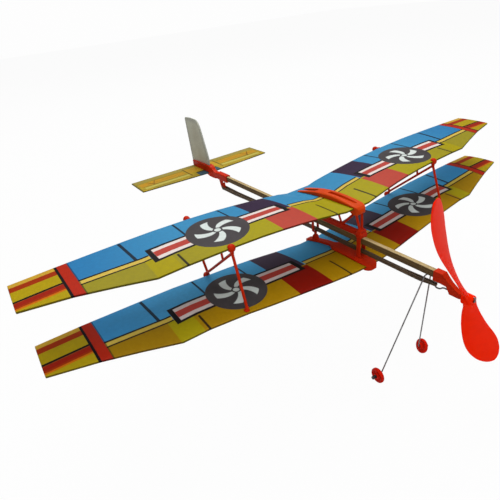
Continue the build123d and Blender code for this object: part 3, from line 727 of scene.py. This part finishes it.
# |y|, trailing edge z, leading edge x, leading edge z, camber
UPPER_WING = [
    (11.0, 16.1, 88.4, 21.5, 1.5), (20.0, 18.0, 87.4, 22.6, 1.9),
    (34.0, 19.9, 85.6, 23.7, 2.0), (47.0, 21.4, 84.0, 24.6, 1.9),
    (61.0, 22.9, 82.4, 25.2, 1.3), (76.0, 24.3, 80.6, 25.4, 0.9),
    (96.0, 25.5, 78.6, 25.2, 0.6), (126.0, 26.5, 75.8, 24.3, 0.4),
    (143.6, 26.6, 73.7, 22.9, 0.4), (165.0, 26.5, 67.2, 24.2, 0.6),
    (187.0, 26.3, 60.8, 25.2, 0.7), (215.0, 25.8, 54.0, 25.1, 0.5)]
LOWER_WING = [
    (11.0, -25.0, 101.6, -19.4, 2.8), (20.0, -23.8, 100.9, -19.2, 2.7),
    (35.0, -22.2, 99.2, -18.9, 2.4), (48.0, -20.4, 97.4, -18.6, 2.1),
    (60.0, -18.9, 95.8, -18.3, 1.9), (80.0, -16.9, 93.5, -17.4, 1.7),
    (98.0, -15.6, 91.6, -16.0, 1.4), (125.0, -13.4, 89.2, -14.9, 1.0),
    (142.5, -12.7, 87.4, -16.1, 0.8), (165.0, -12.0, 80.6, -14.0, 1.0),
    (187.0, -11.3, 74.4, -12.2, 1.1), (215.0, -11.2, 67.2, -11.2, 0.9)]


def build_wings(underside):
    for level, table, trailing_x, ink in (
            ("upper", UPPER_WING, UPPER_TRAILING_X, UPPER_INK_LIT_COPY),
            ("lower", LOWER_WING, LOWER_TRAILING_X, LOWER_INK_SHADED_COPY)):
        name = f"wing_{level}_foam"
        wing = foam_sheet(name, table, spacing=2.4, trailing_x=lambda y: trailing_x,
                          thickness=WING_THICKNESS, cells=32,
                          materials=[wing_print(name + "_print", trailing_x, ink), underside])
        register(wing, "wing_cell", level + "_wing")


# ======================================================================
# tail
# ======================================================================
TAIL_HALF_SPAN = 77.5
TAIL_ROOT_TRAILING_X = -161.2
TAIL_TRAILING_SWEEP = 0.9       # how far aft the trailing edge runs by the tip
TAIL_Z = -3.7
# |y|, trailing edge z, leading edge x, leading edge z, camber
TAILPLANE = [(y, TAIL_Z, lead_x, TAIL_Z, 0.0) for y, lead_x in (
    (0.0, -123.6), (6.0, -123.8), (40.0, -126.2), (TAIL_HALF_SPAN, -129.0))]

FIN_HALF_THICKNESS = 0.62
FIN_BOTTOM = 0.5
FIN_CURVE_START = 42.0          # rows get closer above this height
FIN_REAR_CORNER = 48.6
# z, x of the fin's edges
FIN_REAR = [(FIN_BOTTOM, -162.8), (FIN_REAR_CORNER, -165.2), (50.2, -164.3), (50.7, -161.0),
            (51.05, -153.0)]
FIN_FRONT = [(FIN_BOTTOM, -124.8), (6.0, -124.3), (12.0, -124.0), (17.0, -125.2),
             (26.0, -128.0), (36.0, -131.0), (42.8, -133.2), (45.6, -134.6), (48.1, -136.6),
             (49.9, -139.2), (50.8, -142.0), (51.05, -153.0)]
FIN_TOP_ROWS = [FIN_REAR_CORNER, 49.2, 49.8, 50.2, 50.6, 50.85, 51.0]


def build_tailplane(underside):
    tailplane = foam_sheet(
        "tailplane_foam", TAILPLANE, spacing=2.6, thickness=1.25, cells=18,
        trailing_x=lambda y: (TAIL_ROOT_TRAILING_X
                              - TAIL_TRAILING_SWEEP * abs(y) / TAIL_HALF_SPAN),
        materials=[tail_print("tailplane_print"), underside])
    register(tailplane, "airframe", "stabilizer")


def build_fin():
    """Upright sheet filled as rows between its rear and front edges."""
    rows = [FIN_BOTTOM + (FIN_CURVE_START - FIN_BOTTOM) * k / 24 for k in range(24)]
    rows += [FIN_CURVE_START + (FIN_REAR_CORNER - FIN_CURVE_START) * k / 8 for k in range(8)]
    rows += FIN_TOP_ROWS
    count = len(rows)
    cells = 18
    verts, faces = [], []
    for y in (-FIN_HALF_THICKNESS, FIN_HALF_THICKNESS):
        for z in rows:
            rear = interpolate(FIN_REAR, z)[0]
            front = interpolate(FIN_FRONT, z)[0]
            verts += [(rear + (front - rear) * j / cells, y, z) for j in range(cells + 1)]

    def index(side, i, j):
        return (side * count + i) * (cells + 1) + j

    for i in range(count - 1):
        for j in range(cells):
            faces.append((index(0, i, j), index(0, i, j + 1),
                          index(0, i + 1, j + 1), index(0, i + 1, j)))
            faces.append((index(1, i, j), index(1, i + 1, j),
                          index(1, i + 1, j + 1), index(1, i, j + 1)))
        faces.append((index(0, i + 1, 0), index(1, i + 1, 0), index(1, i, 0), index(0, i, 0)))
        faces.append((index(0, i, cells), index(1, i, cells),
                      index(1, i + 1, cells), index(0, i + 1, cells)))
    last = count - 1
    for j in range(cells):
        faces.append((index(0, 0, j), index(1, 0, j), index(1, 0, j + 1), index(0, 0, j + 1)))
        faces.append((index(0, last, j + 1), index(1, last, j + 1),
                      index(1, last, j), index(0, last, j)))
    fin = make("fin_foam_sheet", verts, faces, [fin_foam("fin_skin")])
    bevel_edges(fin, 0.28)
    register(fin, "airframe", "fin")


# ======================================================================
# stick
# ======================================================================
STICK_REAR, STICK_FRONT = -100.0, 157.0
STICK_HALF_WIDTH = 1.6
STICK_HEIGHT = 4.8
STICK_CORNER = 0.28             # radius of the long edges


def build_stick():
    """Wooden strip with rounded long edges, slightly uneven sides and eased ends."""
    steps = 120
    right, top = STICK_HALF_WIDTH - STICK_CORNER, -STICK_CORNER
    bottom = -STICK_HEIGHT + STICK_CORNER
    section = []
    for corner_y, corner_z, start in ((right, top, 0), (-right, top, 90),
                                      (-right, bottom, 180), (right, bottom, 270)):
        for k in range(4):
            angle = math.radians(start + 30 * k)
            section.append((corner_y + STICK_CORNER * math.cos(angle),
                            corner_z + STICK_CORNER * math.sin(angle)))
    size = len(section)
    middle = STICK_HEIGHT / 2
    verts = []
    for i in range(steps + 1):
        x = STICK_REAR + (STICK_FRONT - STICK_REAR) * i / steps
        shrink = 0.93 if i in (0, steps) else 1.0
        for y, z in section:
            uneven = 0.035 * noise.noise(Vector((x * 0.05, y * 2, z * 2)))
            verts.append((x, y * shrink * (1 + uneven), (z + middle) * shrink - middle))
    faces = ring_faces(steps + 1, size)
    faces.append(tuple(range(size)))
    faces.append(tuple(reversed(range(steps * size, steps * size + size))))
    stick = make("stick_wood", verts, faces, [wood("strip_wood")])
    register(stick, "airframe", "motor_stick")


# ======================================================================
# rubber motor: three loops of flat strip, one above another
# ======================================================================
LOOP_ROWS = 3
LOOP_REAR_X, LOOP_FRONT_X = -98.9, 151.8            # centres of the end turns
LOOP_REAR_RADIUS, LOOP_FRONT_RADIUS = 1.92, 1.19    # to the middle of the strip
STRIP_HALF_THICKNESS = 0.46
# x, z of the middle of the bundle
BUNDLE_Z = [(-102.5, -14.8), (-74.0, -14.9), (-47.0, -13.9), (0.0, -12.5), (47.0, -11.2),
            (130.0, -11.1), (144.0, -10.7), (150.0, -9.95), (154.5, SHAFT_Z)]
# x, half height of the bundle
BUNDLE_HALF_HEIGHT = [(-102.0, 1.42), (130.0, 1.42), (142.0, 1.4), (150.0, 0.75),
                      (154.0, 0.72)]
# x, distance from the middle to the centre of each side of the loop
LOOP_HALF_GAP = [(LOOP_REAR_X, LOOP_REAR_RADIUS), (-60.0, 1.4), (0.0, 0.72), (47.0, 0.62),
                 (130.0, 0.62), (144.0, 0.98), (LOOP_FRONT_X, LOOP_FRONT_RADIUS)]
# strip section with cut corners, in half thicknesses and half heights
STRIP_SECTION = [(-1, -0.78), (-0.78, -1), (0.78, -1), (1, -0.78),
                 (1, 0.78), (0.78, 1), (-0.78, 1), (-1, 0.78)]


def loop_plan():
    """Racetrack of the strip in plan: rear turn, starboard, front turn, port."""
    steps = 110

    def turn(centre, radius, start):
        angles = [math.radians(start + 180 * i / 8) for i in range(9)]
        return [(centre + radius * math.cos(a), radius * math.sin(a)) for a in angles]

    def side_point(t, sign):
        x = LOOP_REAR_X + (LOOP_FRONT_X - LOOP_REAR_X) * t
        return (x, sign * interpolate(LOOP_HALF_GAP, x)[0])

    return (turn(LOOP_REAR_X, LOOP_REAR_RADIUS, 90)
            + [side_point(i / steps, -1) for i in range(1, steps)]
            + turn(LOOP_FRONT_X, LOOP_FRONT_RADIUS, -90)
            + [side_point(1 - i / steps, 1) for i in range(1, steps)])


def strip_loop(row):
    plan = loop_plan()
    count = len(plan)
    level = (row - (LOOP_ROWS - 1) / 2) / (LOOP_ROWS / 2)
    verts = []
    for i, (x, y) in enumerate(plan):
        half_height = interpolate(BUNDLE_HALF_HEIGHT, x)[0]
        # the strips wander between the ends, each side of each row in its own way
        free = min(1.0, max(0.0, (x + 96.0) / 12.0)) * min(1.0, max(0.0, (148.0 - x) / 14.0))
        rise_seed = Vector((x * 0.028, 5.0 * row + (2.0 if y > 0 else 0.0), 1.7))
        sway_seed = Vector((x * 0.034, 9.0 * row + (4.0 if y > 0 else 0.0), 6.3))
        rise = free * 0.22 * noise.noise(rise_seed)
        sway = free * 0.12 * noise.noise(sway_seed)
        centre_z = interpolate(BUNDLE_Z, x)[0] + level * half_height + rise * 0.8
        strip_half_height = half_height / LOOP_ROWS * 0.94
        before, after = plan[(i - 1) % count], plan[(i + 1) % count]
        run_x, run_y = after[0] - before[0], after[1] - before[1]
        length = math.hypot(run_x, run_y)
        normal_x, normal_y = run_y / length, -run_x / length
        centre_x, centre_y = x + normal_x * sway, y + normal_y * sway
        for across, up in STRIP_SECTION:
            verts.append((centre_x + normal_x * STRIP_HALF_THICKNESS * across,
                          centre_y + normal_y * STRIP_HALF_THICKNESS * across,
                          centre_z + strip_half_height * up))
    quads = ring_faces(count, len(STRIP_SECTION), closed=True)
    return verts, [(a, d, c, b) for a, b, c, d in quads]


def build_rubber():
    verts, faces = merge([strip_loop(row) for row in range(LOOP_ROWS)])
    rubber = make("rubber_strips", verts, faces, [strip_rubber("rubber_strip_skin")])
    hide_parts("rubber_motor")
    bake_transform(rubber)


# ======================================================================
# wires
# ======================================================================
# wheel centre, and axle direction pointing outwards
HUBS = {"starboard": (Vector((133.0, -24.4, -88.0)),
                      Vector((-0.118, -0.9926, 0.027)).normalized()),
        "port": (Vector((133.9, 24.4, -89.2)), Vector((0.319, 0.9098, -0.266)).normalized())}
AXLE_OUTER, AXLE_INNER = 5.1, -3.2      # ends of the straight axle, from the wheel centre
GEAR_TOP_X, GEAR_TOP_HALF_Y, GEAR_TOP_Z = 146.6, 3.1, -5.0

SHAFT_FRONT_X = 177.4
SHAFT_BEND_UP = 2.9                     # height of the bent front end above the shaft
HOOK_X, HOOK_RADIUS = 154.0, 2.2


def axle_point(side, outward):
    """Point on the axle line, outwards from the wheel centre."""
    centre, axis = HUBS[side]
    return centre + axis * outward


def build_gear_wire(material):
    corners = [axle_point("starboard", AXLE_OUTER), axle_point("starboard", AXLE_INNER),
               (GEAR_TOP_X, -GEAR_TOP_HALF_Y, GEAR_TOP_Z),
               (GEAR_TOP_X, GEAR_TOP_HALF_Y, GEAR_TOP_Z),
               axle_point("port", AXLE_INNER), axle_point("port", AXLE_OUTER)]
    verts, faces = wire_tube(densify(rounded(corners, radius=1.1), spacing=2.5), radius=0.45)
    gear = make("gear_wire_bent", verts, faces, [material], outward=False)
    register(gear, "airframe", "gear_wire")


def build_shaft(material):
    """Shaft wire, bent up and back in front and curled into a hook at the rear."""
    front = [(SHAFT_FRONT_X - 2.0, 0, SHAFT_Z + SHAFT_BEND_UP),
             (SHAFT_FRONT_X, 0, SHAFT_Z + SHAFT_BEND_UP),
             (SHAFT_FRONT_X, 0, SHAFT_Z), (158.4, 0, SHAFT_Z)]
    path = rounded(front, radius=0.7, steps=6)
    # x and drop below the shaft on the way into the hook
    for x, drop in ((157.4, 0.35), (156.5, 1.25), (155.5, 1.95)):
        path.append((x, 0, SHAFT_Z - drop))
    for degrees in range(270, 60, -12):
        angle = math.radians(degrees)
        path.append((HOOK_X + HOOK_RADIUS * math.cos(angle), 0,
                     SHAFT_Z + HOOK_RADIUS * math.sin(angle)))
    verts, faces = wire_tube(path, radius=0.5)
    shaft = make("shaft_wire_hook", verts, faces, [material], outward=False)
    register(shaft, "prop", "prop_shaft")


# ======================================================================
# propeller
# ======================================================================
PROP_X, PROP_RADIUS = 174.5, 92.0
PROP_TURN = math.radians(30.9)          # how far the first blade leans from upright
TIP_HALF_CHORD = 10.45
TIP_CENTRE = 0.72                       # radius fraction where the round tip is widest
# radius fraction, half chord, pitch from the disc plane, bow, sweep along chord, thickness
BLADE = [(fraction, half_chord, pitch, bow, sweep, thickness)
         for fraction, half_chord, pitch, bow, sweep, thickness in (
    (0.0, 3.4, 51.9, -0.2, 0.0, 3.6), (0.035, 3.6, 51.8, -0.6, 0.52, 3.2),
    (0.1, 3.8, 51.3, -1.3, 1.1, 2.4), (0.16, 4.5, 48.7, -2.0, 1.67, 2.1),
    (0.22, 5.2, 45.3, -2.6, 2.09, 1.95), (0.28, 5.9, 42.4, -3.0, 2.34, 1.85),
    (0.34, 6.7, 39.5, -3.35, 2.49, 1.75), (0.4, 7.4, 36.4, -3.55, 2.53, 1.7),
    (0.47, 8.3, 32.7, -3.65, 2.45, 1.6), (0.54, 9.2, 29.5, -3.6, 2.24, 1.5),
    (0.61, 10.0, 27.2, -3.4, 1.9, 1.4), (0.68, 10.5, 25.0, -3.0, 1.42, 1.3),
    (0.75, 10.5, 23.2, -2.45, 0.86, 1.25), (0.8, 10.05, 21.9, -1.97, 0.4, 1.15),
    (0.85, 9.3, 20.6, -1.45, -0.1, 1.1), (0.9, 8.1, 19.2, -0.85, -0.68, 1.05),
    (0.94, 6.6, 18.2, -0.3, -1.15, 1.0), (0.97, 4.6, 17.3, 0.2, -1.56, 0.9),
    (0.99, 2.6, 16.7, 0.55, -1.82, 0.8), (1.0, 0.5, 16.4, 0.7, -1.95, 0.6))]
BLADE_STATIONS = ([0.0, 0.016, 0.035, 0.05, 0.07] + [0.09 + 0.81 * k / 44 for k in range(45)]
                  + [0.912, 0.924, 0.936, 0.947, 0.957, 0.966, 0.974, 0.981, 0.987, 0.992,
                     0.996, 0.9985, 1.0])
# radius, distance along the shaft
HUB_PROFILE = [(0.52, -3.9), (2.9, -3.9), (3.45, -3.5), (3.6, -3.0), (3.6, 1.4), (3.45, 1.9),
               (2.9, 2.25), (1.5, 2.3), (1.3, 2.0), (0.52, 2.0)]


def blade_values(fraction):
    """Row of the blade table at a radius fraction, by a smooth curve through its rows."""
    last = len(BLADE) - 1
    i = next(i for i in range(last) if BLADE[i][0] <= fraction <= BLADE[i + 1][0])
    before, start, end, after = (BLADE[max(0, i - 1)], BLADE[i], BLADE[i + 1],
                                 BLADE[min(last, i + 2)])
    gap = end[0] - start[0]
    t = (fraction - start[0]) / gap
    values = []
    for k in range(1, len(start)):
        slope_start = (end[k] - before[k]) / (end[0] - before[0]) * gap
        slope_end = (after[k] - start[k]) / (after[0] - start[0]) * gap
        values.append((2 * t ** 3 - 3 * t ** 2 + 1) * start[k]
                      + (t ** 3 - 2 * t ** 2 + t) * slope_start
                      + (-2 * t ** 3 + 3 * t ** 2) * end[k] + (t ** 3 - t ** 2) * slope_end)
    return values


def blade_mesh(turn):
    sides = 28
    verts = []
    for fraction in BLADE_STATIONS:
        half_chord, pitch, bow, sweep, thickness = blade_values(fraction)
        if fraction > 0.9:
            reach = (fraction - TIP_CENTRE) / (1.0 - TIP_CENTRE)
            half_chord = max(0.25, TIP_HALF_CHORD * math.sqrt(max(0.0, 1.0 - reach ** 2)))
        pitch = math.radians(pitch)
        # the section is an ellipse at the root, with finer edges further out
        fineness = 1.38 if fraction > 0.1 else 1.0
        z = fraction * PROP_RADIUS
        for k in range(sides):
            angle = 2 * math.pi * k / sides
            along = math.cos(angle) * half_chord + sweep
            height = math.sin(angle)
            normal = math.copysign(abs(height) ** fineness, height) * thickness / 2 + bow
            x = -math.sin(pitch) * along + math.cos(pitch) * normal
            y = math.cos(pitch) * along + math.sin(pitch) * normal
            verts.append((x, y * math.cos(turn) - z * math.sin(turn),
                          y * math.sin(turn) + z * math.cos(turn)))
    faces = ring_faces(len(BLADE_STATIONS), sides)
    faces.append(tuple(range(sides)))
    faces.append(tuple(range(len(verts) - sides, len(verts))))
    return verts, faces


def build_propeller():
    hub = lathe(HUB_PROFILE, (0, 0, 0), (1, 0, 0), sides=64)
    verts, faces = merge([blade_mesh(PROP_TURN), blade_mesh(PROP_TURN + math.pi), hub])
    verts = [(x + PROP_X, y, z + SHAFT_Z) for x, y, z in verts]
    propeller = make("propeller_moulded", verts, faces, [propeller_plastic()])
    register(propeller, "prop", "propeller")


# ======================================================================
# wheels and caps
# ======================================================================
# radius, distance outwards along the axle
WHEEL_PROFILE = [
    (0.52, -0.7), (1.5, -0.7), (1.75, -0.55), (2.1, 0.05), (3.0, 0.2), (4.2, 0.26),
    (4.7, 0.05), (5.2, 0.1), (5.45, 0.4), (5.58, 0.8), (5.6, 1.3), (5.58, 1.75),
    (5.42, 2.25), (5.1, 2.6), (4.75, 2.65), (4.4, 2.45), (4.1, 2.2), (3.1, 1.95),
    (2.5, 1.95), (2.15, 2.25), (2.0, 2.85), (1.75, 3.1), (0.52, 3.1)]
CAP_PROFILE = [(0.46, 0.0), (1.05, 0.0), (1.18, 0.15), (1.21, 1.1), (1.17, 2.0),
               (1.19, 2.75), (1.05, 2.97), (0.7, 3.0), (0.46, 2.85)]
# where each profile starts, outwards from the wheel centre
WHEEL_START, CAP_START = -1.5, 1.85


def build_wheels():
    wheel_red = red_plastic("wheel_plastic", base=(212, 26, 8), dark=(168, 12, 4),
                            roughness=0.30)
    cap_black = black_rubber("cap_rubber")
    for side, (_, axis) in HUBS.items():
        verts, faces = lathe(WHEEL_PROFILE, axle_point(side, WHEEL_START), axis, sides=80)
        wheel = make("wheel_disc_" + side, verts, faces, [wheel_red])
        register(wheel, "wheel_" + side[0], "wheel_" + side)
        verts, faces = lathe(CAP_PROFILE, axle_point(side, CAP_START), axis, sides=48)
        cap = make("axle_cap_" + side, verts, faces, [cap_black])
        register(cap, "airframe", "wheel_cap_" + side)


# ======================================================================
# moulded parts kept from the frame
# ======================================================================
MOULDED_PARTS = ("upper_saddle", "lower_saddle", "cabane_frame", "clip_front", "clip_rear",
                 "strut_starboard", "strut_port", "nose_bearing", "tail_clip", "tail_seat")


def soften_moulded_parts():
    """Plastic and softened edges for the frame's own parts."""
    clip_red = red_plastic("clip_plastic")
    # painted light: a lighter, more orange copy of the red plastic for the saddle, standing
    # for the yellow sheet's light through the thin plastic
    saddle_lit_red = red_plastic("saddle_plastic_painted_light", base=(198, 66, 17), dark=(172, 36, 8))
    for name in MOULDED_PARTS:
        part = NODES[name]
        part.data.materials.clear()
        part.data.materials.append(saddle_lit_red if name == "upper_saddle" else clip_red)
        remesh = part.modifiers.new("soften", "REMESH")
        remesh.mode = "VOXEL"
        remesh.voxel_size = 0.00024
        remesh.use_smooth_shade = True
        smooth = part.modifiers.new("round", "SMOOTH")
        smooth.factor = 0.6
        smooth.iterations = 5
        part.modifiers.new("thin", "DECIMATE").ratio = 0.35


# ======================================================================
# camera, floor and light (metres)
# ======================================================================
CAMERA_AZIMUTH, CAMERA_ELEVATION, CAMERA_ROLL = 59.0277, 30.1623, -7.0784   # degrees
CAMERA_TARGET = (0.0107, -0.0437566, -0.0271878)
CAMERA_DISTANCE = 0.353501
FLOOR_Z, FLOOR_HALF = -0.1115, 6


def aim_camera():
    azimuth = math.radians(CAMERA_AZIMUTH)
    elevation = math.radians(CAMERA_ELEVATION)
    roll = math.radians(CAMERA_ROLL)
    back = Vector((math.sin(azimuth) * math.cos(elevation),
                   -math.cos(azimuth) * math.cos(elevation), math.sin(elevation)))
    level = Vector((0, 0, 1)).cross(back).normalized()
    upright = back.cross(level)
    right = level * math.cos(roll) + upright * math.sin(roll)
    up = upright * math.cos(roll) - level * math.sin(roll)
    place = Vector(CAMERA_TARGET) + back * CAMERA_DISTANCE
    data = bpy.data.cameras.new("view_camera")
    data.sensor_width = 36.0
    data.lens = 30.3935
    data.clip_start = 0.01
    camera = bpy.data.objects.new("view_camera", data)
    COLLECTION.objects.link(camera)
    camera.matrix_world = Matrix([*zip(right, up, back, place), (0, 0, 0, 1)])
    bpy.context.scene.camera = camera


def build_floor():
    """Floor that looks almost white to the camera and lights the model as matt grey."""
    corners = [(x * FLOOR_HALF, y * FLOOR_HALF, FLOOR_Z)
               for x, y in ((-1, -1), (1, -1), (1, 1), (-1, 1))]
    mesh = bpy.data.meshes.new("studio_floor")
    mesh.from_pydata(corners, [], [(0, 1, 2, 3)])
    floor = bpy.data.objects.new("studio_floor", mesh)
    COLLECTION.objects.link(floor)
    material = bpy.data.materials.new("floor_white")
    material.use_nodes = True
    nodes, links = material.node_tree.nodes, material.node_tree.links
    matt = nodes["Principled BSDF"]
    matt.inputs["Base Color"].default_value = (0.62, 0.62, 0.62, 1)
    matt.inputs["Roughness"].default_value = 0.9
    glow = nodes.new("ShaderNodeEmission")
    glow.inputs["Color"].default_value = (1, 1, 1, 1)
    glow.inputs["Strength"].default_value = 1.0
    rays = nodes.new("ShaderNodeLightPath")
    share = nodes.new("ShaderNodeMath")
    share.operation = "MULTIPLY"
    share.inputs[1].default_value = 0.96
    blend = nodes.new("ShaderNodeMixShader")
    links.new(rays.outputs["Is Camera Ray"], share.inputs[0])
    links.new(share.outputs[0], blend.inputs[0])
    links.new(matt.outputs[0], blend.inputs[1])
    links.new(glow.outputs[0], blend.inputs[2])
    links.new(blend.outputs[0], nodes["Material Output"].inputs[0])
    mesh.materials.append(material)


def area_light(name, location, size, power):
    """Square lamp aimed at the origin."""
    data = bpy.data.lights.new(name, "AREA")
    data.shape = "RECTANGLE"
    data.size = size
    data.size_y = size
    data.energy = power
    lamp = bpy.data.objects.new(name, data)
    lamp.location = location
    lamp.rotation_euler = (-Vector(location)).to_track_quat("-Z", "Y").to_euler()
    COLLECTION.objects.link(lamp)


def build_world():
    """White behind the floor, soft grey as a light."""
    world = bpy.data.worlds.new("studio_world")
    bpy.context.scene.world = world
    world.use_nodes = True
    nodes, links = world.node_tree.nodes, world.node_tree.links
    background = nodes["Background"]
    background.inputs["Color"].default_value = (1, 1, 1, 1)
    rays = nodes.new("ShaderNodeLightPath")
    strength = nodes.new("ShaderNodeMapRange")
    strength.inputs["To Min"].default_value = 0.15
    strength.inputs["To Max"].default_value = 0.985
    links.new(rays.outputs["Is Camera Ray"], strength.inputs["Value"])
    links.new(strength.outputs["Result"], background.inputs["Strength"])


foam_underside = plain_foam("foam_underside")
build_wings(foam_underside)
build_tailplane(foam_underside)
build_fin()
build_stick()
build_rubber()
spring_wire = steel("spring_wire")
build_gear_wire(spring_wire)
build_shaft(spring_wire)
build_propeller()
build_wheels()
soften_moulded_parts()
aim_camera()
build_floor()
area_light("key_light", location=(-0.9, 0.6, 1.6), size=1.6, power=30)
area_light("top_light", location=(0.3, 0.0, 1.7), size=1.5, power=19)
area_light("front_fill", location=(1.3, -0.7, 0.6), size=1.0, power=7)
build_world()
bpy.context.scene.view_settings.view_transform = "Standard"

bpy.context.view_layer.update()
